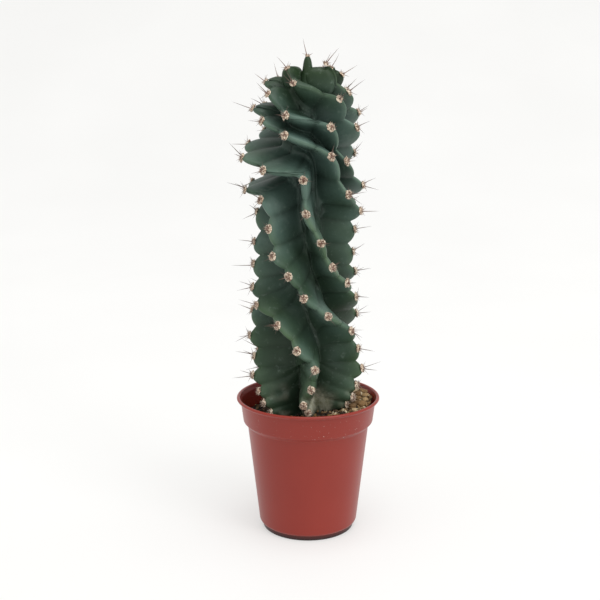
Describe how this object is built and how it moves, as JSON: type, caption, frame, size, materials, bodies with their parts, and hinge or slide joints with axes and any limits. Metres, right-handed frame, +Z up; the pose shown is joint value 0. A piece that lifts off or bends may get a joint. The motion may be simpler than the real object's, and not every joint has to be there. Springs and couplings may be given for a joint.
{
  "type": "potted spiral columnar cactus",
  "caption": "Tall spiral-ribbed columnar cactus with felted areoles and spines along wavy rib edges, rooted in gritty soil in a tapered plastic nursery pot.",
  "frame": {"origin": "bottom centre of the pot, on the pot's axis, on the plane the foot ring stands on", "axes": "+Z up along the pot's axis, -Y the front of the plant, +X to the right seen from the front"},
  "size_m": [0.1063, 0.1098, 0.3426],
  "materials": {
    "pot": "semi-gloss injection-moulded terracotta-coloured plastic",
    "soil": "damp gritty peat mix",
    "cactus_stem": "waxy deep green skin with a blue-grey bloom",
    "grit": "rough mineral grain",
    "spines": "cream felt with grey-brown spines"
  },
  "bodies": {
    "root": {"cactus_stem": "cactus_stem", "grit_grain_01": "grit", "grit_grain_02": "grit", "grit_grain_03": "grit", "grit_grain_04": "grit", "grit_grain_05": "grit", "grit_grain_06": "grit", "grit_grain_07": "grit", "grit_grain_08": "grit", "grit_grain_09": "grit", "grit_grain_10": "grit", "grit_grain_11": "grit", "grit_grain_12": "grit", "pot": "pot", "soil": "soil", "spine_cluster_a06": "spines", "spine_cluster_a08": "spines", "spine_cluster_a10": "spines", "spine_cluster_a12": "spines", "spine_cluster_a14": "spines", "spine_cluster_a16": "spines", "spine_cluster_b06": "spines", "spine_cluster_b08": "spines", "spine_cluster_b10": "spines", "spine_cluster_b12": "spines", "spine_cluster_b14": "spines", "spine_cluster_b16": "spines", "spine_cluster_b18": "spines", "spine_cluster_b20": "spines", "spine_cluster_c05": "spines", "spine_cluster_c07": "spines", "spine_cluster_c09": "spines", "spine_cluster_c11": "spines", "spine_cluster_c13": "spines", "spine_cluster_c15": "spines", "spine_cluster_c17": "spines", "spine_cluster_d06": "spines", "spine_cluster_d08": "spines", "spine_cluster_d10": "spines", "spine_cluster_d12": "spines", "spine_cluster_d14": "spines", "spine_cluster_d16": "spines", "spine_cluster_d18": "spines", "spine_cluster_e06": "spines", "spine_cluster_e08": "spines", "spine_cluster_e10": "spines", "spine_cluster_e12": "spines", "spine_cluster_e14": "spines", "spine_cluster_e16": "spines", "spine_cluster_e18": "spines", "spine_cluster_f05": "spines", "spine_cluster_f07": "spines", "spine_cluster_f09": "spines", "spine_cluster_f11": "spines", "spine_cluster_f13": "spines", "spine_cluster_f15": "spines", "spine_cluster_f17": "spines"}
  },
  "joints": []
}
